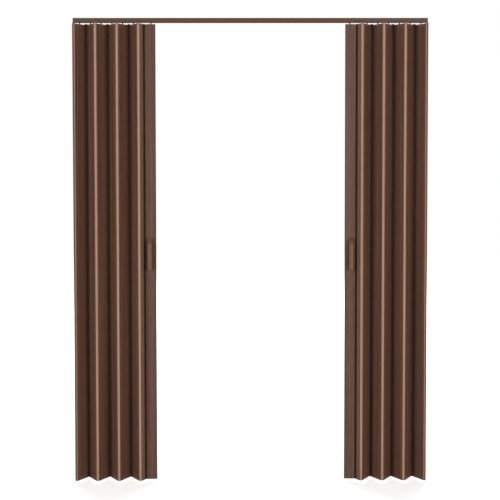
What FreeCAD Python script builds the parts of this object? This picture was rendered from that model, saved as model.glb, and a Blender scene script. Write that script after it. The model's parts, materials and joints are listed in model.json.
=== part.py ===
import FreeCAD, Part
import math
import os
from types import SimpleNamespace

import Sketcher

# Double accordion door: two folding leaves of hollow slats hang from gliders in one C-shaped rail.
# Millimetres and degrees. +X runs along the rail, +Y is the rear side, +Z is up.
# The origin is the middle of the rail's top face. The door is drawn parked open.

SIZES = {
    # rail
    "rail_length": 1600.0,
    "rail_height": 21.0,
    "rail_depth": 32.0,
    "rail_wall": 1.6,
    "rail_top_wall": 2.0,
    "rail_slot_play": 2.75,
    "rail_hole_radius": 2.25,
    "rail_hole_end_distance": 100.0,
    "rail_hole_count": 4,
    # rail end caps
    "cap_plate": 2.5,
    "cap_cheek_length": 25.0,
    "cap_cheek_thickness": 1.0,
    "cap_plug_length": 8.0,
    "cap_clearance": 0.1,
    # leaf as a whole
    "door_height": 2100.0,
    "slat_gap": 6.0,
    "strip_gap": 2.0,
    "rest_fold_angle": 66.85,
    "closed_fold_angle": 13.8,
    "flap_rest_angle": 86.0,
    "flap_closed_angle": 13.6,
    "glider_rest_offset": 1.66,
    # slats and flaps
    "slat_width": 103.0,
    "slat_thickness": 6.0,
    "slat_wall": 1.0,
    "flap_thickness": 5.0,
    "neck_thickness": 1.8,
    "shoulder_length": 1.2,
    "shoulder_clearance": 0.9,
    # hinge beads, sockets and strips
    "bead_radius": 2.2,
    "bead_half_arc": 70.0,
    "hinge_clearance": 0.15,
    "socket_wall": 0.95,
    "mouth_clearance": 0.25,
    "strip_web": 3.3,
    "wall_strip_web": 1.3,
    "strip_crown_radius": 14.0,
    # wall profiles
    "rail_end_gap": 4.1,
    "wall_base": 1.6,
    "wall_flange_front": 5.0,
    "wall_flange_rear": 22.0,
    "wall_hole_radius": 2.25,
    "wall_hole_setback": 13.0,
    "wall_hole_end_distance": 136.5,
    "wall_hole_count": 2,
    # lead posts
    "lead_reach": 50.0,
    "lead_thickness": 14.0,
    "lead_wall": 1.4,
    "lead_gap": 2.6,
    "lead_rib_place": 13.0,
    "lead_cap_plate": 1.5,
    "lead_plug_length": 28.0,
    "lead_plug_clearance": 0.2,
    "lead_glider_setback": 30.0,
    # closing magnets
    "magnet_width": 6.0,
    "magnet_chamfer": 1.0,
    "magnet_tongue_width": 6.0,
    "magnet_tongue_depth": 4.0,
    "magnet_clearance": 0.15,
    # gliders
    "pin_length": 24.0,
    "port_clearance": 0.15,
    "glide_clearance": 0.2,
    "shoe_straight": 18.0,
    "shoe_corner": 4.0,
    "shoe_height": 6.0,
    "shoe_play": 3.4,
    # handles
    "handle_height": 145.0,
    "handle_width": 19.5,
    "handle_depth": 32.0,
    "handle_bar": 10.0,
    "handle_low_foot": 20.0,
    "handle_high_foot": 30.0,
    "handle_slope": 25.0,
    "handle_step": 8.0,
    "handle_outer_round": 6.0,
    "handle_inner_round": 7.0,
    "handle_chamfer": 1.5,
    "handle_level": 1034.0,
    "handle_setback": 21.5,
}

SLATS_PER_LEAF = 6
SIDES = {"left": -1, "right": 1}
SAME_PLACE = 1e-6

doc = FreeCAD.newDocument("accordion_door")
sheet = doc.addObject("Spreadsheet::Sheet", "Sizes")
for row, (alias, amount) in enumerate(SIZES.items(), start=1):
    sheet.set(f"A{row}", alias)
    sheet.set(f"B{row}", str(amount))
    sheet.setAlias(f"B{row}", alias)
doc.recompute()

cell = SimpleNamespace(**{alias: f"Sizes.{alias}" for alias in SIZES})

# Lengths and angles that follow from the sheet, written once as expressions.
slat_length = f"({cell.door_height} - {cell.rail_height} - {cell.slat_gap})"
strip_length = f"({cell.door_height} - {cell.rail_height} - {cell.strip_gap})"
flap_width = (
    f"(({cell.slat_width} / 2 * sin({cell.rest_fold_angle}) - {cell.glider_rest_offset})"
    f" / sin({cell.flap_rest_angle}))"
)
closing_flap_width = f"({cell.slat_width} / 2)"
socket_inner = f"({cell.bead_radius} + {cell.hinge_clearance})"
socket_outer = f"({cell.bead_radius} + {cell.hinge_clearance} + {cell.socket_wall})"
mouth_margin = f"(asin(({cell.neck_thickness} / 2 + {cell.mouth_clearance}) / {socket_inner}) / 1deg)"
mouth_low = f"({cell.closed_fold_angle} - {mouth_margin})"
mouth_high = f"({cell.rest_fold_angle} + {mouth_margin})"
flap_mouth_low = f"({cell.flap_closed_angle} - {mouth_margin})"
flap_mouth_high = f"({cell.flap_rest_angle} + {mouth_margin})"
strip_spacing = f"(2 * {socket_inner} + {cell.strip_web})"
wall_strip_spacing = f"(2 * {socket_inner} + {cell.wall_strip_web})"
wall_pivot = f"({cell.rail_length} / 2 + {cell.rail_end_gap} - {cell.wall_base} - {socket_outer})"
port_half = f"({cell.slat_thickness} / 2 - {cell.slat_wall})"
pin_radius = f"({port_half} - {cell.port_clearance})"
lead_half = f"({cell.lead_thickness} / 2)"
lead_end = f"({cell.lead_reach} - {cell.magnet_width})"
lead_length = f"({slat_length} - 2 * {cell.lead_cap_plate})"
lead_cell_end = f"({lead_end} - {cell.magnet_tongue_depth} - {cell.lead_wall})"


def number(expression):
    """Present value of an expression of the sheet's cells."""
    return float(sheet.evalExpression(expression))


def new_body(label):
    body = doc.addObject("PartDesign::Body", label)
    body.Label = label
    return body


def origin_plane(body, role):
    return next(part for part in body.Origin.OriginFeatures if part.Role == role)


def new_sketch(body, name, role="XY_Plane", offset=None):
    """Empty sketch on one of the body's own planes, moved along the plane's normal by offset."""
    sketch = body.newObject("Sketcher::SketchObject", f"{body.Name}_{name}")
    sketch.AttachmentSupport = [(origin_plane(body, role), "")]
    sketch.MapMode = "FlatFace"
    if offset is not None:
        sketch.setExpression("AttachmentOffset.Base.z", offset)
    return sketch


def tie(sketch, kind, geometry, point, expression):
    """Dimension a point, or a radius where point is None, with an expression of the sheet."""
    target = (geometry,) if point is None else (geometry, point)
    index = sketch.addConstraint(Sketcher.Constraint(kind, *target, number(expression)))
    sketch.setExpression(f"Constraints[{index}]", expression)


def outline(sketch, corners, mirror=1):
    """Closed outline through corners (x, y) or (x, y, arc).

    An arc (centre x, centre y, radius, turn) leaves its corner, with turn 1 for anticlockwise
    and -1 for clockwise. A mirror of -1 draws the outline reversed in x.
    """
    spots = [FreeCAD.Vector(mirror * number(corner[0]), number(corner[1]), 0) for corner in corners]
    ends = []
    for index, corner in enumerate(corners):
        start = spots[index]
        stop = spots[(index + 1) % len(spots)]
        if len(corner) == 2:
            geometry = sketch.addGeometry(Part.LineSegment(start, stop), False)
            ends.append((geometry, 1, 2))
            continue
        centre_x, centre_y, radius, turn = corner[2]
        centre = FreeCAD.Vector(mirror * number(centre_x), number(centre_y), 0)
        first, last = (start, stop) if turn * mirror > 0 else (stop, start)
        angles = [math.atan2(spot.y - centre.y, spot.x - centre.x) for spot in (first, last)]
        if angles[1] <= angles[0]:
            angles[1] += 2 * math.pi
        circle = Part.Circle(centre, FreeCAD.Vector(0, 0, 1), number(radius))
        geometry = sketch.addGeometry(Part.ArcOfCircle(circle, *angles), False)
        ends.append((geometry, 1, 2) if turn * mirror > 0 else (geometry, 2, 1))
    for index, (geometry, _, leaving) in enumerate(ends):
        following, arriving, _ = ends[(index + 1) % len(ends)]
        sketch.addConstraint(Sketcher.Constraint("Coincident", geometry, leaving, following, arriving))
    for corner, (geometry, arriving, _) in zip(corners, ends):
        tie(sketch, "DistanceX", geometry, arriving, f"{mirror} * ({corner[0]})")
        tie(sketch, "DistanceY", geometry, arriving, corner[1])
        if len(corner) == 3:
            tie(sketch, "Radius", geometry, None, corner[2][2])


def rectangle(sketch, low_x, low_y, high_x, high_y, mirror=1):
    outline(sketch, [(low_x, low_y), (high_x, low_y), (high_x, high_y), (low_x, high_y)], mirror)


def circle(sketch, x, y, radius, mirror=1):
    centre = FreeCAD.Vector(mirror * number(x), number(y), 0)
    geometry = sketch.addGeometry(Part.Circle(centre, FreeCAD.Vector(0, 0, 1), number(radius)), False)
    tie(sketch, "DistanceX", geometry, 3, f"{mirror} * ({x})")
    tie(sketch, "DistanceY", geometry, 3, y)
    tie(sketch, "Radius", geometry, None, radius)


def extrude(body, kind, sketch, length, symmetric=False, reverse=False):
    """Pad or Pocket of a sketch over a length that is tied to the sheet."""
    feature = body.newObject(f"PartDesign::{kind}", f"{sketch.Name}_{kind.lower()}")
    feature.Profile = sketch
    feature.setExpression("Length", length)
    feature.Reversed = reverse
    if symmetric:
        feature.SideType = "Symmetric"
    return feature


def repeat_along(body, feature, sketch, axis, length, count):
    """Evenly spaced copies of a feature along an axis of its sketch."""
    pattern = body.newObject("PartDesign::LinearPattern", f"{feature.Name}_row")
    pattern.Originals = [feature]
    pattern.Direction = (sketch, [axis])
    pattern.setExpression("Length", length)
    pattern.setExpression("Occurrences", count)
    body.Tip = pattern


def place(body, x, y, z, angle=0.0):
    turn = FreeCAD.Rotation(FreeCAD.Vector(0, 0, 1), angle)
    body.Placement = FreeCAD.Placement(FreeCAD.Vector(x, y, z), turn)


def around(radius, angle, centre="0"):
    """Point on a circle round (centre, 0), as a pair of expressions."""
    return f"{centre} + {radius} * cos({angle})", f"{radius} * sin({angle})"


# Rail, with screw holes through its top wall.
def make_rail():
    body = new_body("rail")
    section = new_sketch(body, "section", "YZ_Plane")
    half = f"{cell.rail_depth} / 2"
    inner = f"{cell.rail_depth} / 2 - {cell.rail_wall}"
    slot = f"{pin_radius} + {cell.rail_slot_play}"
    floor = f"-{cell.rail_height}"
    lip = f"-{cell.rail_height} + {cell.rail_wall}"
    ceiling = f"-{cell.rail_top_wall}"
    outline(section, [
        (f"-({half})", floor), (f"-({slot})", floor), (f"-({slot})", lip), (f"-({inner})", lip),
        (f"-({inner})", ceiling), (inner, ceiling), (inner, lip), (slot, lip),
        (slot, floor), (half, floor), (half, "0"), (f"-({half})", "0"),
    ])
    extrude(body, "Pad", section, f"{cell.rail_length} - 2 * {cell.cap_plate}", symmetric=True)
    reach = f"{cell.rail_length} / 2 - {cell.rail_hole_end_distance}"
    drill = new_sketch(body, "hole")
    circle(drill, f"-({reach})", "0", cell.rail_hole_radius)
    hole = extrude(body, "Pocket", drill, f"2 * {cell.rail_top_wall}")
    doc.recompute()
    repeat_along(body, hole, drill, "H_Axis", f"2 * ({reach})", cell.rail_hole_count)
    return body


# Clip-on rail ends: a plate, a plug in the channel and a cheek on each face of the rail.
def make_rail_end_caps():
    body = new_body("rail_end_caps")
    inside = f"{cell.rail_depth} / 2 + {cell.cap_clearance}"
    outside = f"({inside} + {cell.cap_cheek_thickness})"
    plug_side = f"({cell.rail_depth} / 2 - {cell.rail_wall} - {cell.cap_clearance})"
    plug_floor = f"-{cell.rail_height} + {cell.rail_wall} + {cell.cap_clearance}"
    plug_top = f"-{cell.rail_top_wall} - {cell.cap_clearance}"
    for name, side in SIDES.items():
        end = f"{side} * {cell.rail_length} / 2"
        plate = new_sketch(body, f"{name}_plate", "YZ_Plane", end)
        rectangle(plate, f"-{outside}", f"-{cell.rail_height}", outside, "0")
        extrude(body, "Pad", plate, cell.cap_plate, reverse=side > 0)
        plug = new_sketch(body, f"{name}_plug", "YZ_Plane", end)
        rectangle(plug, f"-{plug_side}", plug_floor, plug_side, plug_top)
        extrude(body, "Pad", plug, f"{cell.cap_plate} + {cell.cap_plug_length}", reverse=side > 0)
        cheeks = new_sketch(body, f"{name}_cheeks", "YZ_Plane", end)
        rectangle(cheeks, f"-{outside}", f"-{cell.rail_height}", f"-({inside})", "0")
        rectangle(cheeks, inside, f"-{cell.rail_height}", outside, "0")
        extrude(body, "Pad", cheeks, cell.cap_cheek_length, reverse=side > 0)
    return body


# Extruded wall fixing: a flat flange with one hinge socket for the wall flap.
def make_wall_profile(label, inward):
    body = new_body(label)
    section = new_sketch(body, "section")
    face = f"-{socket_outer}"
    back = f"-{socket_outer} - {cell.wall_base}"
    low_outer = around(socket_outer, f"-{flap_mouth_high}")
    low_inner = around(socket_inner, f"-{flap_mouth_high}")
    high_inner = around(socket_inner, f"-{flap_mouth_low}")
    high_outer = around(socket_outer, f"-{flap_mouth_low}")
    outline(section, [
        (back, f"-{cell.wall_flange_front}"), (face, f"-{cell.wall_flange_front}"), (face, low_outer[1]),
        low_outer, (*low_inner, ("0", "0", socket_inner, -1)), high_inner,
        (*high_outer, ("0", "0", socket_outer, 1)), ("0", socket_outer), (face, socket_outer),
        (face, cell.wall_flange_rear), (back, cell.wall_flange_rear),
    ], mirror=inward)
    extrude(body, "Pad", section, slat_length)
    drill = new_sketch(body, "hole", "YZ_Plane")
    circle(drill, cell.wall_hole_setback, cell.wall_hole_end_distance, cell.wall_hole_radius)
    hole = extrude(body, "Pocket", drill, f"4 * ({socket_outer} + {cell.wall_base})", symmetric=True)
    doc.recompute()
    rise = f"{slat_length} - 2 * {cell.wall_hole_end_distance}"
    repeat_along(body, hole, drill, "V_Axis", rise, cell.wall_hole_count)
    return body


# Hollow slat with a rounded bead along each edge. A full slat has a central port for its glider.
def make_slat(label, width, thickness, has_port):
    body = new_body(label)
    section = new_sketch(body, "section")
    half = f"{thickness} / 2"
    neck = f"{cell.neck_thickness} / 2"
    axis = f"({width} / 2)"
    neck_end = f"({axis} - {cell.bead_radius})"
    bead_end = f"({axis} + {cell.bead_radius} * cos({cell.bead_half_arc}))"
    bead_half = f"({cell.bead_radius} * sin({cell.bead_half_arc}))"
    shoulder = f"({axis} - {socket_outer} - {cell.shoulder_clearance})"
    face_end = f"({shoulder} - {cell.shoulder_length})"
    outline(section, [
        (f"-{face_end}", f"-{half}"), (face_end, f"-{half}"), (shoulder, f"-{neck}"), (neck_end, f"-{neck}"),
        (bead_end, f"-{bead_half}", (axis, "0", cell.bead_radius, 1)), (bead_end, bead_half),
        (neck_end, neck), (shoulder, neck), (face_end, half), (f"-{face_end}", half),
        (f"-{shoulder}", neck), (f"-{neck_end}", neck),
        (f"-{bead_end}", bead_half, (f"-{axis}", "0", cell.bead_radius, 1)),
        (f"-{bead_end}", f"-{bead_half}"), (f"-{neck_end}", f"-{neck}"), (f"-{shoulder}", f"-{neck}"),
    ])
    far = f"({face_end} - {cell.slat_wall})"
    depth = f"({thickness} / 2 - {cell.slat_wall})"
    if has_port:
        near = f"({port_half} + {cell.slat_wall})"
        rectangle(section, f"-{port_half}", f"-{port_half}", port_half, port_half)
        rectangle(section, near, f"-{depth}", far, depth)
        rectangle(section, near, f"-{depth}", far, depth, mirror=-1)
    else:
        rectangle(section, f"-{far}", f"-{depth}", far, depth)
    extrude(body, "Pad", section, slat_length)
    return body


# Hinge strip: a crowned bar with two C-shaped sockets that open towards +Y. It ends above the slats.
def make_hinge_strip(label, spacing, mouth_end):
    body = new_body(label)
    section = new_sketch(body, "section")
    axis = f"({spacing} / 2)"
    reach = f"({cell.strip_crown_radius} - {socket_outer})"
    crown_y = f"sqrt({reach}^2 - {axis}^2)"
    blend = (f"({axis} + {socket_outer} * {axis} / {reach})", f"-{socket_outer} * {crown_y} / {reach}")
    low_outer = around(socket_outer, mouth_low, axis)
    low_inner = around(socket_inner, mouth_low, axis)
    high_inner = around(socket_inner, mouth_end, axis)
    high_outer = around(socket_outer, mouth_end, axis)

    def flip(corner):
        return f"-({corner[0]})", corner[1]

    far_axis = f"-{axis}"
    outline(section, [
        (*blend, (axis, "0", socket_outer, 1)), low_outer, (*low_inner, (axis, "0", socket_inner, -1)),
        high_inner, high_outer, flip(high_outer),
        (*flip(high_inner), (far_axis, "0", socket_inner, -1)), flip(low_inner),
        (*flip(low_outer), (far_axis, "0", socket_outer, 1)),
        (*flip(blend), ("0", crown_y, cell.strip_crown_radius, 1)),
    ])
    extrude(body, "Pad", section, strip_length)
    return body


# Glider: a flat shoe that rides on the rail's lips, with a round pin down into the slat's port.
def make_glider(label):
    body = new_body(label)
    shoe_floor = f"({cell.slat_gap} + {cell.rail_wall} + {cell.glide_clearance})"
    pin = new_sketch(body, "pin", offset=f"-{cell.pin_length}")
    circle(pin, "0", "0", pin_radius)
    extrude(body, "Pad", pin, f"{cell.pin_length} + {shoe_floor}")
    shoe = new_sketch(body, "shoe", offset=shoe_floor)
    half_width = f"({cell.rail_depth} / 2 - {cell.rail_wall} - {cell.shoe_play})"
    half_straight = f"({cell.shoe_straight} / 2)"
    half_length = f"({half_straight} + {cell.shoe_corner})"
    half_end = f"({half_width} - {cell.shoe_corner})"
    outline(shoe, [
        (f"-{half_straight}", f"-{half_width}"), (half_straight, f"-{half_width}"),
        (half_length, f"-{half_end}"), (half_length, half_end), (half_straight, half_width),
        (f"-{half_straight}", half_width), (f"-{half_length}", half_end), (f"-{half_length}", f"-{half_end}"),
    ])
    extrude(body, "Pad", shoe, cell.shoe_height)
    return body


# Lead post: hollow closing profile with a hinge socket on one edge and a magnet groove on the other.
def make_lead_post(label, inward):
    body = new_body(label)
    section = new_sketch(body, "section")
    groove = f"({cell.magnet_tongue_width} / 2)"
    groove_end = f"({lead_end} - {cell.magnet_tongue_depth})"

    def socket_point(radius, angle):
        return f"-{radius} * cos({angle})", f"-{radius} * sin({angle})"

    high_outer = socket_point(socket_outer, mouth_high)
    outline(section, [
        high_outer, (cell.lead_gap, high_outer[1]), (cell.lead_gap, f"-{lead_half}"),
        (lead_end, f"-{lead_half}"), (lead_end, f"-{groove}"), (groove_end, f"-{groove}"),
        (groove_end, groove), (lead_end, groove), (lead_end, lead_half), (cell.lead_gap, lead_half),
        (cell.lead_gap, socket_outer), ("0", socket_outer, ("0", "0", socket_outer, 1)),
        socket_point(socket_outer, mouth_low),
        (*socket_point(socket_inner, mouth_low), ("0", "0", socket_inner, -1)),
        socket_point(socket_inner, mouth_high),
    ], mirror=inward)
    depth = f"({lead_half} - {cell.lead_wall})"
    rib_half = f"{cell.lead_wall} / 2"
    for near, end in [
        (f"{cell.lead_gap} + {cell.lead_wall}", f"{cell.lead_rib_place} - {rib_half}"),
        (f"{cell.lead_rib_place} + {rib_half}", lead_cell_end),
    ]:
        rectangle(section, near, f"-{depth}", end, depth, mirror=inward)
    extrude(body, "Pad", section, lead_length)
    return body


# Top and bottom caps of a lead post and its magnet. The top plug has a port for the lead glider's pin.
def make_lead_post_caps(label, inward):
    body = new_body(label)
    near = f"{cell.lead_rib_place} + {cell.lead_wall} / 2 + {cell.lead_plug_clearance}"
    far = f"{lead_cell_end} - {cell.lead_plug_clearance}"
    depth = f"({lead_half} - {cell.lead_wall} - {cell.lead_plug_clearance})"
    cover = f"{cell.lead_reach} - {cell.magnet_chamfer}"
    for name, level, downward in (("bottom", "0", False), ("top", slat_length, True)):
        plate = new_sketch(body, f"{name}_plate", offset=level)
        rectangle(plate, cell.lead_gap, f"-{lead_half}", cover, lead_half, mirror=inward)
        extrude(body, "Pad", plate, cell.lead_cap_plate, reverse=downward)
        plug = new_sketch(body, f"{name}_plug", offset=level)
        rectangle(plug, near, f"-{depth}", far, depth, mirror=inward)
        extrude(body, "Pad", plug, f"{cell.lead_cap_plate} + {cell.lead_plug_length}", reverse=downward)
    drill = new_sketch(body, "port", offset=slat_length)
    port_near = f"{cell.lead_glider_setback} - {port_half}"
    port_far = f"{cell.lead_glider_setback} + {port_half}"
    rectangle(drill, port_near, f"-{port_half}", port_far, port_half, mirror=inward)
    extrude(body, "Pocket", drill, f"{cell.pin_length} + {cell.port_clearance}")
    return body


# Closing magnet strip with a tongue that slides into the lead post's groove.
def make_closing_magnet(label, inward):
    body = new_body(label)
    section = new_sketch(body, "section")
    tongue = f"({cell.magnet_tongue_width} / 2 - {cell.magnet_clearance})"
    root = f"-({cell.magnet_tongue_depth} - {cell.magnet_clearance})"
    edge = f"({lead_half} - {cell.magnet_chamfer})"
    nose = f"{cell.magnet_width} - {cell.magnet_chamfer}"
    outline(section, [
        ("0", f"-{lead_half}"), (nose, f"-{lead_half}"), (cell.magnet_width, f"-{edge}"),
        (cell.magnet_width, edge), (nose, lead_half), ("0", lead_half), ("0", tongue),
        (root, tongue), (root, f"-{tongue}"), ("0", f"-{tongue}"),
    ], mirror=inward)
    extrude(body, "Pad", section, lead_length)
    return body


# Bow handle that stands out towards -Y, with two feet on the lead post.
def make_handle(label):
    body = new_body(label)
    side = new_sketch(body, "side", "YZ_Plane")
    top = f"{cell.handle_height} / 2"
    bottom = f"-{cell.handle_height} / 2"
    front = f"-{cell.handle_depth}"
    front_round = f"-{cell.handle_depth} + {cell.handle_outer_round}"
    low_round = f"{bottom} + {cell.handle_outer_round}"
    grip = f"-{cell.handle_depth} + {cell.handle_bar}"
    grip_round = f"{grip} + {cell.handle_inner_round}"
    gap_top = f"{top} - {cell.handle_high_foot}"
    gap_bottom = f"{bottom} + {cell.handle_low_foot}"
    gap_top_round = f"{gap_top} - {cell.handle_inner_round}"
    gap_bottom_round = f"{gap_bottom} + {cell.handle_inner_round}"
    outline(side, [
        ("0", bottom), ("0", gap_bottom),
        (grip_round, gap_bottom, (grip_round, gap_bottom_round, cell.handle_inner_round, -1)),
        (grip, gap_bottom_round),
        (grip, gap_top_round, (grip_round, gap_top_round, cell.handle_inner_round, -1)),
        (grip_round, gap_top), ("0", gap_top), ("0", top), (f"-{cell.handle_step}", top),
        (front, f"{top} - {cell.handle_slope}"),
        (front, low_round, (front_round, low_round, cell.handle_outer_round, 1)),
        (front_round, bottom),
    ])
    extrude(body, "Pad", side, cell.handle_width, symmetric=True)
    doc.recompute()
    bevel_bar(body)
    return body


def bevel_bar(body):
    """Chamfer both long front edges of a handle's bar and its sloping end."""
    base = body.Tip
    side = number(cell.handle_width) / 2
    front = -number(cell.handle_depth)
    names = []
    for index, edge in enumerate(base.Shape.Edges, start=1):
        box = edge.BoundBox
        is_on_side = min(abs(box.XMin), abs(box.XMax)) > side - SAME_PLACE
        if is_on_side and box.XLength < SAME_PLACE and box.YMin < front + SAME_PLACE:
            names.append(f"Edge{index}")
    bevel = body.newObject("PartDesign::Chamfer", f"{body.Name}_bevel")
    bevel.Base = (base, names)
    bevel.setExpression("Size", cell.handle_chamfer)


def make_leaf(name, side):
    """All the pieces of one leaf, from its wall pivot to its lead post, placed as parked."""
    inward = -side
    floor = -number(cell.door_height)
    head_room = floor + number(slat_length)
    fold = math.radians(number(cell.rest_fold_angle))
    swing = math.radians(number(cell.flap_rest_angle))
    spacing = number(strip_spacing)
    run = number(cell.slat_width) * math.cos(fold)
    rise = number(cell.slat_width) * math.sin(fold)
    fold_turn = inward * number(cell.rest_fold_angle)
    pieces = [make_wall_profile(f"{name}_wall_profile", inward)]
    x = side * number(wall_pivot)
    place(pieces[-1], x, 0, floor)

    flap_run = inward * number(flap_width) * math.cos(swing)
    front = -number(flap_width) * math.sin(swing)
    rear = front + rise
    middle = front + rise / 2
    pieces.append(make_slat(f"{name}_wall_flap", flap_width, cell.flap_thickness, False))
    place(pieces[-1], x + flap_run / 2, front / 2, floor, -inward * number(cell.flap_rest_angle))

    x += flap_run + inward * number(wall_strip_spacing) / 2
    pieces.append(make_hinge_strip(f"{name}_hinge_strip_front_0", wall_strip_spacing, flap_mouth_high))
    place(pieces[-1], x, front, floor)

    x += inward * number(wall_strip_spacing) / 2
    for count in range(1, SLATS_PER_LEAF + 1):
        goes_back = count % 2 == 1
        pieces.append(make_slat(f"{name}_slat_{count}", cell.slat_width, cell.slat_thickness, True))
        place(pieces[-1], x + inward * run / 2, middle, floor, fold_turn if goes_back else -fold_turn)
        pieces.append(make_glider(f"{name}_glider_{count}"))
        place(pieces[-1], x + inward * run / 2, middle, head_room)
        x += inward * (run + spacing / 2)
        row = "back" if goes_back else "front"
        strip = make_hinge_strip(f"{name}_hinge_strip_{row}_{(count + 1) // 2}", strip_spacing, mouth_high)
        pieces.append(strip)
        place(strip, x, rear if goes_back else front, floor, 180.0 if goes_back else 0.0)
        x += inward * spacing / 2

    pieces.append(make_slat(f"{name}_closing_flap", closing_flap_width, cell.slat_thickness, False))
    place(pieces[-1], x + inward * run / 4, front + rise / 4, floor, fold_turn)
    x += inward * run / 2
    pieces += make_lead(name, inward, x, middle, floor)
    return pieces


def make_lead(name, inward, x, y, floor):
    """Lead post with its caps, magnet, glider and pair of handles. (x, y) is its hinge axis."""
    post = make_lead_post(f"{name}_lead_post", inward)
    place(post, x, y, floor + number(cell.lead_cap_plate))
    caps = make_lead_post_caps(f"{name}_lead_post_caps", inward)
    place(caps, x, y, floor)
    magnet = make_closing_magnet(f"{name}_closing_magnet", inward)
    place(magnet, x + inward * number(lead_end), y, floor + number(cell.lead_cap_plate))
    glider = make_glider(f"{name}_lead_glider")
    place(glider, x + inward * number(cell.lead_glider_setback), y, floor + number(slat_length))
    grip_x = x + inward * number(cell.handle_setback)
    level = floor + number(cell.handle_level)
    front_handle = make_handle(f"{name}_handle_front")
    place(front_handle, grip_x, y - number(lead_half), level)
    back_handle = make_handle(f"{name}_handle_back")
    place(back_handle, grip_x, y + number(lead_half), level, 180.0)
    return [post, caps, magnet, glider, front_handle, back_handle]


nodes = [make_rail(), make_rail_end_caps()]
for leaf_name, leaf_side in SIDES.items():
    nodes += make_leaf(leaf_name, leaf_side)
doc.recompute()

for item in doc.Objects:
    if "Invalid" in item.State or "Error" in item.State:
        raise RuntimeError(f"{item.Label} did not build: {item.State}")
for node in nodes:
    if node.Shape.isNull() or not node.Shape.isValid():
        raise RuntimeError(f"{node.Label} has no valid shape")

os.makedirs("parts", exist_ok=True)
for node in nodes:
    node.Shape.exportStep(f"parts/{node.Label}.step")
print(f"{len(nodes)} pieces written")
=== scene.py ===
# %% [markdown]
# # A double accordion door in walnut foil
# Two folding leaves hang from one ceiling rail and stand parked at its ends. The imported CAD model
# is the fixed frame and already holds every slat, hinge strip, glider and profile in its place.
# This lesson dresses it: camera and light first, then a finish for each kind of plastic, then the
# moulded pieces whose soft edges the CAD solids leave out, and the collars on the gliders' pins.

# %% Load the frame
import bmesh
import bpy
import json
import math
from mathutils import Matrix, Vector


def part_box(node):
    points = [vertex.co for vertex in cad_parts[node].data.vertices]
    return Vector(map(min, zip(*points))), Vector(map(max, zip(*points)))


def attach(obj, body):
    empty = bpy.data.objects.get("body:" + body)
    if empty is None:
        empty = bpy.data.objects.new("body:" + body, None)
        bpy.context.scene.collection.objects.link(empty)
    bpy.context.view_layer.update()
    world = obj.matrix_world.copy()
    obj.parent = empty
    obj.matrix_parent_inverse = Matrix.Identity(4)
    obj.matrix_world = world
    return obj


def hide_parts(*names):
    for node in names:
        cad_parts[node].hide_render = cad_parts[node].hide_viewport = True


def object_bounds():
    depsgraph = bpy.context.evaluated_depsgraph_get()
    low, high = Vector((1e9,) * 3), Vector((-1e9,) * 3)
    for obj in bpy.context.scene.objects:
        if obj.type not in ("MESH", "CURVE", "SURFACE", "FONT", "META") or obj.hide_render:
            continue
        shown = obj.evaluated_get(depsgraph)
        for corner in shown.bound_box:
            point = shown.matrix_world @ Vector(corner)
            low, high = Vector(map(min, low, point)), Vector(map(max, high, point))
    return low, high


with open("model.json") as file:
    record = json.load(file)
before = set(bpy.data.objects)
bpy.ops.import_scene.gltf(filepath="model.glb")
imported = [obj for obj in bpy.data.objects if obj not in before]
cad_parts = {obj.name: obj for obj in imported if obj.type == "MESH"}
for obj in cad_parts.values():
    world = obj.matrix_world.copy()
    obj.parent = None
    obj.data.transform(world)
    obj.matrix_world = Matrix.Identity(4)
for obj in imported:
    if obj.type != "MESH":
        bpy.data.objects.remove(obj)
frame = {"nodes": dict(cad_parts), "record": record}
cad_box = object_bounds()
nodes = frame["nodes"]
print("CAD box", [tuple(round(v, 4) for v in corner) for corner in cad_box])

# %% [markdown]
# ## Camera
# The photograph was taken from about seven metres with a long lens, almost square on, so both
# leaves show very little perspective. The place, tilt and focal length come from fitting the
# door's own corners. A camera is turned by its rotation matrix, whose columns are right, up and
# backwards, which is safer than guessing three angles.

# %% Camera
CAMERA_PLACE = Vector((-0.0569, -7.3986, -0.5740))
CAMERA_PITCH = 0.06399
CAMERA_YAW = 0.00738
CAMERA_ROLL = -0.00073
CAMERA_REACH = 60.0
FOCAL_PIXELS = 1628.4
PHOTO_PIXELS = 500.0
SENSOR_WIDTH = 36.0

forward = Vector((
    math.sin(CAMERA_YAW) * math.cos(CAMERA_PITCH),
    math.cos(CAMERA_YAW) * math.cos(CAMERA_PITCH),
    -math.sin(CAMERA_PITCH),
))
right = forward.cross(Vector((0, 0, 1))).normalized()
up = right.cross(forward)
turn = Matrix((right, up, -forward)).transposed() @ Matrix.Rotation(CAMERA_ROLL, 3, "Z")
bpy.ops.object.camera_add(location=CAMERA_PLACE, rotation=turn.to_euler())
camera = bpy.context.object
camera.name = "camera"
camera.data.sensor_width = SENSOR_WIDTH
camera.data.lens = FOCAL_PIXELS / PHOTO_PIXELS * SENSOR_WIDTH
camera.data.clip_end = CAMERA_REACH
bpy.context.scene.camera = camera
print("lens", round(camera.data.lens, 1))

# %% [markdown]
# ## World
# The photograph is a plain studio cut-out, white all round. The world is white only where the
# camera or a reflection looks at it. As a light it is much weaker, because light from everywhere
# would wash out the folds.

# %% World
BACKDROP_COLOUR = (1.0, 1.0, 1.0, 1.0)
BACKDROP_LEVEL = 1.0
AMBIENT_COLOUR = (1.0, 0.99, 0.98, 1.0)
AMBIENT_LEVEL = 0.15

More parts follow.
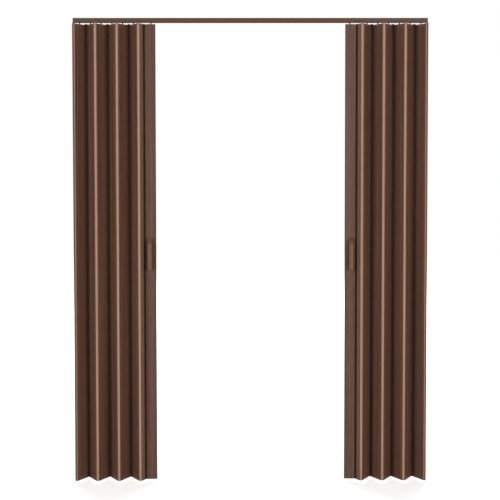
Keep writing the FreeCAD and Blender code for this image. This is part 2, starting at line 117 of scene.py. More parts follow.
bpy.context.scene.view_settings.view_transform = "Standard"
world = bpy.data.worlds.new("studio")
bpy.context.scene.world = world
world.use_nodes = True
tree = world.node_tree
tree.nodes.clear()
paths = tree.nodes.new("ShaderNodeLightPath")
seen = tree.nodes.new("ShaderNodeMath")
seen.operation = "MAXIMUM"
seen_all = tree.nodes.new("ShaderNodeMath")
seen_all.operation = "MAXIMUM"
backdrop = tree.nodes.new("ShaderNodeBackground")
backdrop.inputs["Color"].default_value = BACKDROP_COLOUR
backdrop.inputs["Strength"].default_value = BACKDROP_LEVEL
ambient = tree.nodes.new("ShaderNodeBackground")
ambient.inputs["Color"].default_value = AMBIENT_COLOUR
ambient.inputs["Strength"].default_value = AMBIENT_LEVEL
blend = tree.nodes.new("ShaderNodeMixShader")
surface = tree.nodes.new("ShaderNodeOutputWorld")
tree.links.new(paths.outputs["Is Camera Ray"], seen.inputs[0])
tree.links.new(paths.outputs["Is Glossy Ray"], seen.inputs[1])
tree.links.new(seen.outputs[0], seen_all.inputs[0])
tree.links.new(paths.outputs["Is Transmission Ray"], seen_all.inputs[1])
tree.links.new(seen_all.outputs[0], blend.inputs["Fac"])
tree.links.new(ambient.outputs[0], blend.inputs[1])
tree.links.new(backdrop.outputs[0], blend.inputs[2])
tree.links.new(blend.outputs[0], surface.inputs["Surface"])
print("backdrop", BACKDROP_LEVEL, "ambient", AMBIENT_LEVEL)

# %% [markdown]
# ## Lamps
# Each fold shows two flanks. A soft lamp right of the camera reaches nearly to the bottom of every
# fold on the flanks that face right, and one further to the left lights those that face left until
# the fold beside them shades the valley. Two more lamps stand high behind the door, so that its
# back and its top can be looked at too. All stand on a circle round the door, so one helper with an
# angle places them.

# %% Lamps
DOOR_MIDDLE = Vector((0.0, 0.0, -1.05))
LAMP_DISTANCE = 10.0
LAMP_COLOUR = (1.0, 0.98, 0.96)


def add_studio_lamp(name, angle, height, size, power):
    """Square soft lamp, at an angle in degrees from the front towards the right."""
    turned = math.radians(angle)
    place = Vector((LAMP_DISTANCE * math.sin(turned), -LAMP_DISTANCE * math.cos(turned), height))
    bpy.ops.object.light_add(type="AREA", location=place)
    lamp = bpy.context.object
    lamp.name = name
    lamp.rotation_euler = (DOOR_MIDDLE - place).to_track_quat("-Z", "Y").to_euler()
    lamp.data.shape = "SQUARE"
    lamp.data.size = size
    lamp.data.energy = power
    lamp.data.color = LAMP_COLOUR


add_studio_lamp("front_right_lamp", angle=26.0, height=-0.2, size=3.6, power=510.0)
add_studio_lamp("front_left_lamp", angle=-33.0, height=-0.4, size=3.2, power=480.0)
add_studio_lamp("rear_right_lamp", angle=163.0, height=3.2, size=3.4, power=480.0)
add_studio_lamp("rear_left_lamp", angle=-160.0, height=3.2, size=3.4, power=450.0)

# %% [markdown]
# ## Floor
# The door hangs a finger's width above the floor. The floor is pale and plain. Its diffuse part
# keeps the door's shadow, and a part that glows only for the camera lifts it to the white of the
# backdrop. The glow is a little weaker close to the door, so that the soft shadow stays visible
# there and fades out over about a metre.

# %% Floor
FLOOR_GAP = 0.012
FLOOR_SIZE = 30.0

bpy.ops.object.select_all(action="DESELECT")
floor_level = cad_box[0][2] - FLOOR_GAP
bpy.ops.mesh.primitive_plane_add(size=FLOOR_SIZE, location=(0.0, 0.0, floor_level))
floor = bpy.context.object
floor.name = "floor"
paint = bpy.data.materials.new("pale_floor")
paint.use_nodes = True
floor.data.materials.append(paint)
print("floor at", round(floor_level, 4))

# %% Floor paint
FLOOR_GREY = (0.80, 0.80, 0.80, 1.0)
GLOW_NEAR = 0.68
SHADOW_REACH_X = 2.0
SHADOW_REACH_Y = 1.1
SHADOW_CORE = 0.35

tree = paint.node_tree
tree.nodes.clear()
spot = tree.nodes.new("ShaderNodeTexCoord")
shrink = tree.nodes.new("ShaderNodeMapping")
shrink.inputs["Scale"].default_value = (1.0 / SHADOW_REACH_X, 1.0 / SHADOW_REACH_Y, 0.0)
away = tree.nodes.new("ShaderNodeVectorMath")
away.operation = "LENGTH"
glow_level = tree.nodes.new("ShaderNodeMapRange")
glow_level.interpolation_type = "SMOOTHSTEP"
glow_level.inputs["From Min"].default_value = SHADOW_CORE
glow_level.inputs["To Min"].default_value = GLOW_NEAR
paths = tree.nodes.new("ShaderNodeLightPath")
shown = tree.nodes.new("ShaderNodeMath")
shown.operation = "MULTIPLY"
glow = tree.nodes.new("ShaderNodeEmission")
matte = tree.nodes.new("ShaderNodeBsdfDiffuse")
matte.inputs["Color"].default_value = FLOOR_GREY
total = tree.nodes.new("ShaderNodeAddShader")
surface = tree.nodes.new("ShaderNodeOutputMaterial")
tree.links.new(spot.outputs["Object"], shrink.inputs["Vector"])
tree.links.new(shrink.outputs["Vector"], away.inputs[0])
tree.links.new(away.outputs["Value"], glow_level.inputs["Value"])
tree.links.new(glow_level.outputs["Result"], shown.inputs[0])
tree.links.new(paths.outputs["Is Camera Ray"], shown.inputs[1])
tree.links.new(shown.outputs[0], glow.inputs["Strength"])
tree.links.new(matte.outputs[0], total.inputs[0])
tree.links.new(glow.outputs[0], total.inputs[1])
tree.links.new(total.outputs[0], surface.inputs["Surface"])
print("glow by the door", GLOW_NEAR)

# %% [markdown]
# ## Finishes from noise
# Everything on this door is extruded or moulded plastic, so each finish starts from the same
# shader. Patterns come from noise over Object coordinates: scaled by a different amount on each
# axis, it becomes streaks, drawn lines or an even grain. The streaks also ride along when a leaf is
# drawn closed, because each piece carries its own coordinates.

# %% Colours and shader
SATIN_GLOSS = 0.15


def linear(red, green, blue):
    """Scene-linear colour of an sRGB colour written from 0 to 255."""
    def channel(level):
        level /= 255.0
        return level / 12.92 if level <= 0.04045 else ((level + 0.055) / 1.055) ** 2.4
    return channel(red), channel(green), channel(blue), 1.0


def new_finish(name, gloss=SATIN_GLOSS):
    """Empty plastic finish: its material, its tree, its shader and its Object coordinates."""
    finish = bpy.data.materials.new(name)
    finish.use_nodes = True
    tree = finish.node_tree
    shader = tree.nodes["Principled BSDF"]
    shader.inputs["Specular IOR Level"].default_value = gloss
    place = tree.nodes.new("ShaderNodeTexCoord").outputs["Object"]
    return finish, tree, shader, place


print("sRGB 128 in linear light", round(linear(128, 128, 128)[0], 3))

# %% Noise, its range and its bump
NOISE_ROUGHNESS = 0.55


def stretched_noise(tree, place, scale, detail=4.0, distortion=0.0):
    """Noise over coordinates that are scaled by a different amount on each axis."""
    mapping = tree.nodes.new("ShaderNodeMapping")
    mapping.inputs["Scale"].default_value = scale
    noise = tree.nodes.new("ShaderNodeTexNoise")
    noise.inputs["Scale"].default_value = 1.0
    noise.inputs["Detail"].default_value = detail
    noise.inputs["Roughness"].default_value = NOISE_ROUGHNESS
    noise.inputs["Distortion"].default_value = distortion
    tree.links.new(place, mapping.inputs["Vector"])
    tree.links.new(mapping.outputs["Vector"], noise.inputs["Vector"])
    return noise.outputs["Fac"]


def value_range(tree, value, low, high, start=0.0, end=1.0):
    """Spread the values from start to end over low to high."""
    spread = tree.nodes.new("ShaderNodeMapRange")
    spread.inputs["From Min"].default_value = start
    spread.inputs["From Max"].default_value = end
    spread.inputs["To Min"].default_value = low
    spread.inputs["To Max"].default_value = high
    tree.links.new(value, spread.inputs["Value"])
    return spread.outputs["Result"]


def add_bump(tree, shader, height, distance):
    """Raise the surface by a pattern, by a distance in metres."""
    bump = tree.nodes.new("ShaderNodeBump")
    bump.inputs["Distance"].default_value = distance
    tree.links.new(height, bump.inputs["Height"])
    tree.links.new(bump.outputs["Normal"], shader.inputs["Normal"])


# %% Colours from a pattern


def colour_ramp(tree, value, stops):
    """Colour ramp with stops (place, colour)."""
    ramp = tree.nodes.new("ShaderNodeValToRGB")
    elements = ramp.color_ramp.elements
    while len(elements) < len(stops):
        elements.new(0.5)
    for element, (place, colour) in zip(elements, stops):
        element.position = place
        element.color = colour
    tree.links.new(value, ramp.inputs["Fac"])
    return ramp.outputs["Color"]


def mix_colours(tree, amount, first, second):
    """Go from a first colour to a second one, either of them plain or from a node."""
    mix = tree.nodes.new("ShaderNodeMix")
    mix.data_type = "RGBA"
    tree.links.new(amount, mix.inputs["Factor"])
    for socket, colour in (("A", first), ("B", second)):
        if isinstance(colour, tuple):
            mix.inputs[socket].default_value = colour
        else:
            tree.links.new(colour, mix.inputs[socket])
    return mix.outputs["Result"]


# %% [markdown]
# ## Walnut foil
# The slats, the flaps and the lead posts wear a printed walnut foil whose grain runs up and down.
# Broad wavy streaks give the colour of the wood, and short fine dashes give its pores. The pores
# also drive roughness and a shallow bump, as on a foil that is printed and embossed together. The
# closing flap lies in better light than the slats, and that light is painted in as a paler foil.

# %% Walnut foil
FOIL_ROUGHNESS = 0.46
FOIL_ROUGHNESS_SPREAD = 0.08
STREAKS = (55.0, 55.0, 0.7)
DARK_STOP = 0.32
MIDDLE_STOP = 0.50
LIGHT_STOP = 0.70
PORES = (900.0, 900.0, 14.0)
PORE_START = 0.35
PORE_END = 0.55
PORE_DARKNESS = 0.67
PORE_DEPTH = 0.00008


def in_pore(tone):
    """A tone of the wood as it is inside a pore."""
    return tuple(PORE_DARKNESS * v for v in tone[:3]) + (1.0,)


def make_walnut_foil(name, dark, middle, light):
    """Foil with wood grain along Z, in three tones."""
    finish, tree, shader, place = new_finish(name)
    streaks = stretched_noise(tree, place, STREAKS, detail=6.0, distortion=0.4)
    pores = stretched_noise(tree, place, PORES, detail=2.0)
    wood_stops = [(DARK_STOP, dark), (MIDDLE_STOP, middle), (LIGHT_STOP, light)]
    wood = colour_ramp(tree, streaks, wood_stops)
    pore_stops = [(DARK_STOP, in_pore(dark)), (LIGHT_STOP, in_pore(light))]
    pore_wood = colour_ramp(tree, streaks, pore_stops)
    openness = value_range(tree, pores, 0.0, 1.0, start=PORE_START, end=PORE_END)
    tree.links.new(mix_colours(tree, openness, pore_wood, wood), shader.inputs["Base Color"])
    roughness = value_range(
        tree, pores, FOIL_ROUGHNESS + FOIL_ROUGHNESS_SPREAD, FOIL_ROUGHNESS - FOIL_ROUGHNESS_SPREAD)
    tree.links.new(roughness, shader.inputs["Roughness"])
    add_bump(tree, shader, pores, PORE_DEPTH)
    return finish


slat_foil = make_walnut_foil(
    "walnut_slat_foil", linear(98, 69, 56), linear(111, 80, 66), linear(125, 92, 77))
# painted light: the flap's foil is a paler copy of the slat foil, for the better light it lies in
flap_foil_painted_light_and_shade = make_walnut_foil(
    "walnut_flap_foil", linear(112, 87, 74), linear(124, 98, 84), linear(136, 109, 95))
lead_foil = make_walnut_foil(
    "walnut_lead_foil", linear(87, 61, 50), linear(98, 71, 59), linear(109, 80, 67))
print("foils", [foil.name for foil in (slat_foil, flap_foil_painted_light_and_shade, lead_foil)])

# %% [markdown]
# ## Painted shade where the flap meets the lead post
# The corner between the closing flap and the lead post lies in shade, and that shade is painted:
# the post's socket and the flap's end beside it turn dark brown, which shows as a dark line between
# the two. A second colour that takes over along one axis does this without a second material, so
# each piece stays one mesh with one finish.

# %% Painted shade where the flap meets the lead post
HINGE_PAINTED_SHADE = linear(46, 31, 24)
FLAP_SHADE_START = (-0.0215, -0.0165)
LEAD_SHADE_START = (0.4812, 0.4818)


def measure_along(tree, place, axis, from_middle=False):
    """A point's coordinate along an axis, or its distance from the door's middle plane."""
    split = tree.nodes.new("ShaderNodeSeparateXYZ")
    tree.links.new(place, split.inputs["Vector"])
    if not from_middle:
        return split.outputs[axis]
    distance = tree.nodes.new("ShaderNodeMath")
    distance.operation = "ABSOLUTE"
    tree.links.new(split.outputs[axis], distance.inputs[0])
    return distance.outputs[0]


def change_beyond(finish, colour, axis, span, from_middle=False):
    """Let a finish's colour give way to another one along an axis, over a span."""
    tree = finish.node_tree
    place = tree.nodes["Texture Coordinate"].outputs["Object"]
    base = tree.nodes["Principled BSDF"].inputs["Base Color"]
    distance = measure_along(tree, place, axis, from_middle)
    amount = value_range(tree, distance, 0.0, 1.0, start=span[0], end=span[1])
    tree.links.new(mix_colours(tree, amount, base.links[0].from_socket, colour), base)


# painted shade: the flap's end by the hinge and the post's socket turn dark brown, for the shaded
# corner between them
change_beyond(flap_foil_painted_light_and_shade, HINGE_PAINTED_SHADE, "Y", FLAP_SHADE_START)
change_beyond(lead_foil, HINGE_PAINTED_SHADE, "X", LEAD_SHADE_START, from_middle=True)
print("foil ends at", FLAP_SHADE_START, LEAD_SHADE_START)

# %% [markdown]
# ## Plain plastics
# The rail and its caps, the wall profiles, the magnet strips, the gliders and the handles are
# coloured through. Faint lines run the way each profile was drawn through its die: along the rail,
# and up the wall profiles and magnets. Moulded pieces have soft clouds instead. The rail's lower
# lips, which turn in under the gliders, lie in shade, and that shade is painted as a darker brown.

# %% Plain plastics
DRAWN_LINES_ALONG = (2.0, 220.0, 220.0)
DRAWN_LINES_UP = (260.0, 260.0, 2.0)
MOULDED_CLOUDS = (110.0, 110.0, 45.0)
DARK_LINE_STOP = 0.3
LIGHT_LINE_STOP = 0.7
FINE_GRAIN = (2200.0, 2200.0, 2200.0)
GRAIN_HEIGHT = 0.00002
GRAIN_ROUGHNESS_SPREAD = 0.06


def make_plain_plastic(name, dark, light, pattern, roughness, gloss=SATIN_GLOSS):
    """Plastic that is coloured through: a faint pattern between two tones, and a fine grain."""
    finish, tree, shader, place = new_finish(name, gloss)
    lines = stretched_noise(tree, place, pattern)
    colour = colour_ramp(tree, lines, [(DARK_LINE_STOP, dark), (LIGHT_LINE_STOP, light)])
    tree.links.new(colour, shader.inputs["Base Color"])
    grain = stretched_noise(tree, place, FINE_GRAIN, detail=1.0)
    grain_roughness = value_range(
        tree, grain, roughness - GRAIN_ROUGHNESS_SPREAD, roughness + GRAIN_ROUGHNESS_SPREAD)
    tree.links.new(grain_roughness, shader.inputs["Roughness"])
    add_bump(tree, shader, grain, GRAIN_HEIGHT)
    return finish


plain_finishes = {
    "hinge_strip": make_plain_plastic(
        "tan_wall_profile", linear(132, 98, 78), linear(146, 112, 90),
        DRAWN_LINES_UP, roughness=0.44),
    "rail_plastic": make_plain_plastic(
        "brown_rail", linear(81, 55, 39), linear(93, 65, 47),
        DRAWN_LINES_ALONG, roughness=0.42),
    "handle_plastic": make_plain_plastic(
        "brown_handle", linear(104, 72, 54), linear(116, 83, 64),
        MOULDED_CLOUDS, roughness=0.38),
    "magnet_strip": make_plain_plastic(
        "soft_brown_edge", linear(76, 58, 52), linear(86, 67, 60),
        DRAWN_LINES_UP, roughness=0.55),
    "glider_nylon": make_plain_plastic(
        "dark_nylon", linear(40, 29, 25), linear(52, 39, 33),
        MOULDED_CLOUDS, roughness=0.40),
}
print("plain plastics", sorted(plain_finishes))

# %% Rail lips
RAIL_LIP_PAINTED_SHADE = linear(66, 46, 31)
RAIL_LIP_SHADE_START = (-0.0160, -0.0175)

# painted shade: the rail's lower lips turn darker brown where they lie in shade
change_beyond(plain_finishes["rail_plastic"], RAIL_LIP_PAINTED_SHADE, "Z", RAIL_LIP_SHADE_START)
print("rail lips darken below", RAIL_LIP_SHADE_START[0])

# %% [markdown]
# ## Hinge strips
# A hinge strip is drawn through a die with a tan crown on its outer face. Its rounded flanks turn
# away from the light and its side inside the fold lies in deep shade, and both shades are painted:
# brown on the flanks and dark brown inside the fold. One finish can do all, because a strip's depth
# tells them apart: the crown gives way to the painted brown just behind the outer face, and that
# gives way to the painted dark at the plane of the two hinge axes. The first strip is browner on
# the half by the wall. The gloss is low, so that the dark side doesn't mirror the white studio.

# %% Hinge strips
STRIP_GLOSS = 0.10
STRIP_ROUGHNESS = 0.44
CROWN_DEPTH = (0.0004, 0.0012)
SOCKET_REACH = 0.0033
DARK_FADE = 0.0006
# painted shade: brown for the crown's rounded flanks, dark brown for the side that lies inside the
# fold
FLANK_PAINTED_SHADE = linear(112, 78, 60)
FOLD_PAINTED_SHADE = linear(60, 40, 30)
WALL_BROWN = linear(100, 69, 50)
WALL_BROWN_START = (0.7915, 0.7930)
TO_FRONT = -1
TO_BACK = 1


def make_strip_finish(name, tones, node, outward, is_by_wall=False):
    """Tan crown over painted shade on its flanks and inside the fold, for the strips that point to
    the front or the back.
    """
    finish = make_plain_plastic(name, *tones, DRAWN_LINES_UP, STRIP_ROUGHNESS, STRIP_GLOSS)
    if is_by_wall:
        change_beyond(finish, WALL_BROWN, "X", WALL_BROWN_START, from_middle=True)
    strip_low, strip_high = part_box(node)
    outer_face = strip_low.y if outward == TO_FRONT else strip_high.y
    inner_face = strip_high.y if outward == TO_FRONT else strip_low.y
    hinge_line = inner_face + outward * SOCKET_REACH
    crown_end = [outer_face - outward * depth for depth in CROWN_DEPTH]
    # painted shade: the crown gives way to brown on its flanks, then to dark brown inside the fold
    change_beyond(finish, FLANK_PAINTED_SHADE, "Y", crown_end)
    fold_shade_start = (hinge_line + outward * DARK_FADE, hinge_line - outward * DARK_FADE)
    change_beyond(finish, FOLD_PAINTED_SHADE, "Y", fold_shade_start)
    print(name, "from", round(outer_face, 5), "to", round(hinge_line, 5))
    return finish


tan_tones = (linear(152, 119, 101), linear(168, 134, 115))
wall_tones = (linear(142, 107, 86), linear(156, 121, 100))
strip_finishes = {
    "front_0": make_strip_finish(
        "tan_wall_strip", wall_tones, "left_hinge_strip_front_0", TO_FRONT, is_by_wall=True),
    "front": make_strip_finish(
        "tan_front_strip", tan_tones, "left_hinge_strip_front_1", TO_FRONT),
    "back": make_strip_finish(
        "tan_back_strip", tan_tones, "left_hinge_strip_back_1", TO_BACK),
}

# %% [markdown]
# ## Finishes on the CAD pieces
# The slats, strips, posts and gliders have the right shape already, so they keep their CAD meshes
# and only get a finish. The record says which material slot each piece belongs to. Strips and
# closing flaps are looked up by name, because they share a slot but not a finish.

# %% Finishes on the CAD pieces
slot_of_node = {part["node"]: part["material_slot"] for part in frame["record"]["subparts"]}
slot_finishes = {"slat_foil": slat_foil, "lead_foil": lead_foil, **plain_finishes}


def strip_row(name):
    """The row that a hinge strip belongs to."""
    if name.endswith("front_0"):
        return "front_0"
    return "front" if "front" in name else "back"


def finish_for(name):
    """The finish of a CAD piece, from its name and its slot."""
    if "hinge_strip" in name:
        return strip_finishes[strip_row(name)]
    if name.endswith("closing_flap"):
        return flap_foil_painted_light_and_shade
    return slot_finishes[slot_of_node[name]]


for name, node in nodes.items():
    node.data.materials.clear()
    node.data.materials.append(finish_for(name))
print("finished", len(nodes), "CAD pieces")

# %% [markdown]
# ## Bow handle: block and sloping end
# Each lead post carries a bow handle on each face: two feet and a bar, with an upper end that
# slopes back to the post. It could be built from a curve, but it is moulded in one and has flat
# sides, so it is cut from a block the size of its CAD solid, as from a bar of plastic. The first
# cut takes off the sloping end.

# %% Handle block
HANDLE_SLOPE = 0.025
HANDLE_STEP = 0.008


def add_block(name, low, high):
    """Block between two corners, with its place in its mesh, opened in edit mode."""
    bpy.ops.object.select_all(action="DESELECT")
    bpy.ops.mesh.primitive_cube_add(size=1.0, location=(low + high) / 2, scale=high - low)
    block = bpy.context.object
    block.name = name
    bpy.ops.object.transform_apply(location=True, rotation=True, scale=True)
    bpy.ops.object.mode_set(mode="EDIT")
    return block


low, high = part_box("left_handle_front")
handle = add_block("left_handle_front_moulded", low, high)
bpy.ops.mesh.select_all(action="SELECT")
slope_foot = (0.0, low.y, high.z - HANDLE_SLOPE)
slope_normal = (0.0, -HANDLE_SLOPE, high.y - low.y - HANDLE_STEP)
bpy.ops.mesh.bisect(plane_co=slope_foot, plane_no=slope_normal, use_fill=True, clear_outer=True)
print("handle block", [round(v, 4) for v in high - low])

# %% [markdown]
# ## Bow handle: finger gap
# The gap between bar and post is open on both sides. Cuts mark its top, its bottom and the back of
# the bar. The faces behind the bar are deleted, and a bridge between the two open edge chains
# closes the walls of the gap. A limited dissolve then clears the cuts that are left across flat
# faces, so that no bevel runs into them.

# %% Selecting by place
SAME_PLACE = 0.00001


def select_faces(piece, is_wanted):
    """Select the faces whose middle and normal pass a test, and nothing else."""
    bpy.context.tool_settings.mesh_select_mode = (False, False, True)
    bpy.ops.mesh.select_all(action="DESELECT")
    shape = bmesh.from_edit_mesh(piece.data)
    wanted = [face for face in shape.faces if is_wanted(face.calc_center_median(), face.normal)]
    for face in wanted:
        face.select_set(True)
    bmesh.update_edit_mesh(piece.data)
    return len(wanted)


def select_edges(piece, is_wanted):
    """Select the edges that pass a test, and nothing else."""
    bpy.context.tool_settings.mesh_select_mode = (False, True, False)
    bpy.ops.mesh.select_all(action="DESELECT")
    shape = bmesh.from_edit_mesh(piece.data)
    wanted = [edge for edge in shape.edges if is_wanted(edge)]
    for edge in wanted:
        edge.select_set(True)
    bmesh.update_edit_mesh(piece.data)
    return len(wanted)


def is_near(value, goal):
    """Whether two measures are the same but for rounding."""
    return abs(value - goal) < SAME_PLACE


# %% Cutting and closing
FLAT_ANGLE = math.radians(1.0)
ALONG_Y = (0.0, 1.0, 0.0)
ALONG_Z = (0.0, 0.0, 1.0)


def cut_through(point, normal):
    """Cut the whole mesh along a plane and keep both sides."""
    bpy.ops.mesh.select_all(action="SELECT")
    bpy.ops.mesh.bisect(plane_co=point, plane_no=normal)


def clear_cuts():
    """Turn all normals outwards and dissolve the cuts that are left across flat faces."""
    bpy.ops.mesh.select_all(action="SELECT")
    bpy.ops.mesh.normals_make_consistent(inside=False)
    bpy.ops.mesh.dissolve_limited(angle_limit=FLAT_ANGLE)


# %% Finger gap
HANDLE_BAR = 0.010
HANDLE_LOW_FOOT = 0.020
HANDLE_HIGH_FOOT = 0.030

gap_low = low.z + HANDLE_LOW_FOOT
gap_high = high.z - HANDLE_HIGH_FOOT
grip = low.y + HANDLE_BAR


def is_on_gap_outline(edge):
    """Whether an edge lies on the gap's outline on one side of the handle."""
    first, second = (corner.co for corner in edge.verts)
    is_at_gap = all(
        co.y > grip - SAME_PLACE and gap_low - SAME_PLACE < co.z < gap_high + SAME_PLACE
        for co in (first, second))
    return is_at_gap and is_near(first.x, second.x)


for level in (gap_low, gap_high):
    cut_through((0.0, 0.0, level), ALONG_Z)
select_faces(handle, lambda middle, normal: gap_low < middle.z < gap_high)
bpy.ops.mesh.bisect(plane_co=(0.0, grip, 0.0), plane_no=ALONG_Y)
behind = select_faces(
    handle, lambda middle, normal: gap_low < middle.z < gap_high and middle.y > grip)
bpy.ops.mesh.delete(type="FACE")
outline = select_edges(handle, is_on_gap_outline)
bpy.ops.mesh.bridge_edge_loops()
clear_cuts()
print("gap faces deleted", behind, "outline edges bridged", outline)

# %% [markdown]
# ## Bow handle: soft edges
# A hand closes round the bar, so its edges are round: wide rounds in the corners of the gap and at
# the lower end, then smaller ones along both sides. Each is one bevel of edges that are picked by
# their place. A bevel that stopped half-way along a curve would leave a spike, so each chain along
# a side runs on until it meets the post. Weighted normals keep the flat faces flat to the light.

# %% Rounds across the handle
GAP_CORNER_ROUND = 0.007
LOWER_END_ROUND = 0.006
SLOPE_ROUND = 0.004
UPPER_END_ROUND = 0.003

across_rounds = [
    (grip, gap_low, GAP_CORNER_ROUND),
    (grip, gap_high, GAP_CORNER_ROUND),
    (low.y, low.z, LOWER_END_ROUND),
    (low.y, high.z - HANDLE_SLOPE, SLOPE_ROUND),
    (high.y - HANDLE_STEP, high.z, UPPER_END_ROUND),
]
for y, z, radius in across_rounds:
    count = select_edges(handle, lambda edge: all(
        is_near(corner.co.y, y) and is_near(corner.co.z, z) for corner in edge.verts))
    bpy.ops.mesh.bevel(offset=radius, segments=5, affect="EDGES")
    print("rounded", count, "edge across at", round(z, 4))

# %% Rounds along its sides
OUTER_ROUND = 0.0025
GAP_ROUND = 0.0012


def is_on_side(edge):
    """Whether an edge lies on one flat side of the handle and off the face that meets the post."""
    is_flat_side = any(
        all(is_near(corner.co.x, side) for corner in edge.verts) for side in (low.x, high.x))
    return is_flat_side and any(corner.co.y < high.y - SAME_PLACE for corner in edge.verts)


outer = select_edges(handle, lambda edge: is_on_side(edge) and not is_on_gap_outline(edge))
bpy.ops.mesh.bevel(offset=OUTER_ROUND, segments=4, affect="EDGES")
inner = select_edges(handle, lambda edge: is_on_side(edge) and is_on_gap_outline(edge))
bpy.ops.mesh.bevel(offset=GAP_ROUND, segments=3, affect="EDGES")
bpy.ops.object.mode_set(mode="OBJECT")
print("edges rounded outside", outer, "and in the gap", inner)

# %% Smooth shading
SMOOTH_ANGLE = math.radians(40.0)


def smooth_moulded_faces(piece):
    """Smooth shading over the rounds that keeps flat faces flat."""
    bpy.ops.object.shade_smooth_by_angle(angle=SMOOTH_ANGLE)
    flat = piece.modifiers.new("flat_faces", "WEIGHTED_NORMAL")
    flat.keep_sharp = True
    bpy.ops.object.modifier_apply(modifier=flat.name)


smooth_moulded_faces(handle)
handle.data.materials.append(plain_finishes["handle_plastic"])
print("handle faces", len(handle.data.polygons))

# %% [markdown]
# ## Bow handle: four places
# All four handles come from one mould. The right one is a moved copy, and those on the back are
# copies turned half round. Each copy has its own mesh, and its place goes into that mesh.

# %% Four handles


def middle_of(name):
    """The middle of a CAD piece's box."""
    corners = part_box(name)
    return (corners[0] + corners[1]) / 2


def copy_piece(piece, name):
    """Copy of a piece with its own mesh, left selected and active."""
    bpy.ops.object.select_all(action="DESELECT")
    piece.select_set(True)
    bpy.context.view_layer.objects.active = piece
    bpy.ops.object.duplicate(linked=False)
    twin = bpy.context.object
    twin.name = name
    return twin


handles = {"left_handle_front": handle}
start = middle_of("left_handle_front")
for name in ("right_handle_front", "left_handle_back", "right_handle_back"):
    handles[name] = copy_piece(handle, f"{name}_moulded")
    if name.endswith("back"):
        bpy.ops.transform.rotate(value=math.pi, orient_axis="Z", center_override=start)
    bpy.ops.transform.translate(value=middle_of(name) - start)
    bpy.ops.object.transform_apply(location=True, rotation=True, scale=True)
for name, piece in handles.items():
    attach(piece, f"{name.split('_')[0]}_lead")
    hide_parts(name)
print("handles", sorted(piece.name for piece in handles.values()))

# %% [markdown]
# ## Rail end caps
# A moulded cap closes each end of the rail: a plate, a plug that fills the channel and two thin
# cheeks that clip over the rail's faces. It starts as the plate. Cuts mark the cheeks and the plug
# on its inner face, each is extruded along the rail, and a limited dissolve clears the cuts that
# are left. The rim of the outer face gets a visible round, and a fine Bevel modifier takes the
# sharpness off the rest. The second cap is the first one turned half round.

# %% Cap plate and its extrusions
CAP_PLATE = 0.0025
CHEEK_LENGTH = 0.025
CHEEK_INSIDE = 0.0161
PLUG_LENGTH = 0.008
PLUG_SIDE = 0.0143
PLUG_FLOOR = -0.0193
PLUG_TOP = -0.0021
FACING = 0.9


def extrude_along_rail(length):
    """Extrude the selected faces towards the middle of the rail."""
    bpy.ops.mesh.extrude_region_move(TRANSFORM_OT_translate={"value": (length, 0.0, 0.0)})


low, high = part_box("rail_end_caps")
plate_high = Vector((low.x + CAP_PLATE, high.y, high.z))
caps = add_block("rail_end_caps_moulded", low, plate_high)
for y in (-CHEEK_INSIDE, CHEEK_INSIDE, -PLUG_SIDE, PLUG_SIDE):
    cut_through((0.0, y, 0.0), ALONG_Y)
for z in (PLUG_FLOOR, PLUG_TOP):
    cut_through((0.0, 0.0, z), ALONG_Z)
cheeks = select_faces(
    caps, lambda middle, normal: normal.x > FACING and abs(middle.y) > CHEEK_INSIDE)
extrude_along_rail(CHEEK_LENGTH - CAP_PLATE)
plug = select_faces(caps, lambda middle, normal: (
    normal.x > FACING and abs(middle.y) < PLUG_SIDE and PLUG_FLOOR < middle.z < PLUG_TOP))
extrude_along_rail(PLUG_LENGTH)
clear_cuts()
print("cheek faces", cheeks, "plug faces", plug)

# %% Cap rounds
CAP_ROUND = 0.0010
CAP_FINE_ROUND = 0.0002


def is_outer_rim(edge):
    """Whether an edge lies on the rim of the cap's outer face."""
    is_outside = all(is_near(corner.co.x, low.x) for corner in edge.verts)
    return is_outside and any(abs(face.normal.x) < FACING for face in edge.link_faces)


rim = select_edges(caps, is_outer_rim)
bpy.ops.mesh.bevel(offset=CAP_ROUND, segments=3, affect="EDGES")
bpy.ops.object.mode_set(mode="OBJECT")
soften = caps.modifiers.new("fine_round", "BEVEL")
soften.width = CAP_FINE_ROUND
soften.segments = 2
soften.limit_method = "ANGLE"
soften.angle_limit = SMOOTH_ANGLE
bpy.ops.object.modifier_apply(modifier=soften.name)
smooth_moulded_faces(caps)
print("rim edges", rim, "faces of one cap", len(caps.data.polygons))

# %% Second cap
copy_piece(caps, "second_cap")
bpy.ops.transform.rotate(value=math.pi, orient_axis="Z", center_override=(0.0, 0.0, 0.0))
bpy.ops.object.transform_apply(location=True, rotation=True, scale=True)
caps.select_set(True)
bpy.context.view_layer.objects.active = caps
bpy.ops.object.join()
caps.data.materials.clear()
caps.data.materials.append(plain_finishes["rail_plastic"])
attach(caps, "frame")
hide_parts("rail_end_caps")
print("faces of both caps", len(caps.data.polygons))

# %% [markdown]
# ## Glider collars
# Each glider's pin rises from its slat into the rail's slot. A collar on the pin stands on the
# slat's upper edge and keeps the leaf at its height, and these collars show as dark posts under the
# rail. A collar is turned from a short rod: the end faces of a cylinder are inset to the size of
# the bore, a bridge between the two insets opens it, and a bevel rounds the rims. The others are
# moved copies.

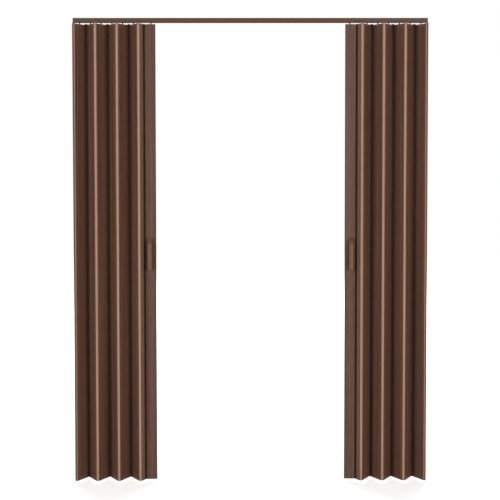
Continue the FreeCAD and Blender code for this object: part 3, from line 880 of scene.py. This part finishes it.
# %% One collar
COLLAR_RADIUS = 0.0029
COLLAR_BORE = 0.00195
COLLAR_LOW = -0.0268
COLLAR_HIGH = -0.0215
COLLAR_SIDES = 24

glider_names = [name for name in nodes if "glider" in name]
pin = middle_of(glider_names[0])
bpy.ops.object.select_all(action="DESELECT")
bpy.ops.mesh.primitive_cylinder_add(
    vertices=COLLAR_SIDES, radius=COLLAR_RADIUS, depth=COLLAR_HIGH - COLLAR_LOW,
    location=(pin.x, pin.y, (COLLAR_LOW + COLLAR_HIGH) / 2))
collar = bpy.context.object
collar.name = f"{glider_names[0]}_collar"
bpy.ops.object.transform_apply(location=True, rotation=True, scale=True)
bpy.ops.object.mode_set(mode="EDIT")
ends = select_faces(collar, lambda middle, normal: abs(normal.z) > FACING)
bpy.ops.mesh.inset(thickness=COLLAR_RADIUS - COLLAR_BORE)
bpy.ops.mesh.bridge_edge_loops()
print("collar ends opened", ends)

# %% Collar rims
COLLAR_ROUND = 0.0005


def is_collar_rim(edge):
    """Whether an edge lies on the outer rim of one of the collar's ends."""
    first, second = (corner.co for corner in edge.verts)
    is_outside = all(
        is_near(math.hypot(co.x - pin.x, co.y - pin.y), COLLAR_RADIUS) for co in (first, second))
    return is_outside and is_near(first.z, second.z)


rims = select_edges(collar, is_collar_rim)
bpy.ops.mesh.bevel(offset=COLLAR_ROUND, segments=3, affect="EDGES")
bpy.ops.mesh.select_all(action="SELECT")
bpy.ops.mesh.normals_make_consistent(inside=False)
bpy.ops.object.mode_set(mode="OBJECT")
smooth_moulded_faces(collar)
collar.data.materials.append(plain_finishes["glider_nylon"])
print("rim edges", rims, "collar faces", len(collar.data.polygons))

# %% All collars
bodies = frame["record"]["behaviour"]["bodies"]
body_of_node = {name: body for body, names in bodies.items() for name in names}

collars = {glider_names[0]: collar}
for name in glider_names[1:]:
    collars[name] = copy_piece(collar, f"{name}_collar")
    bpy.ops.transform.translate(value=middle_of(name) - pin)
    bpy.ops.object.transform_apply(location=True, rotation=True, scale=True)
for name, piece in collars.items():
    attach(piece, body_of_node[name])
print("collars", len(collars))
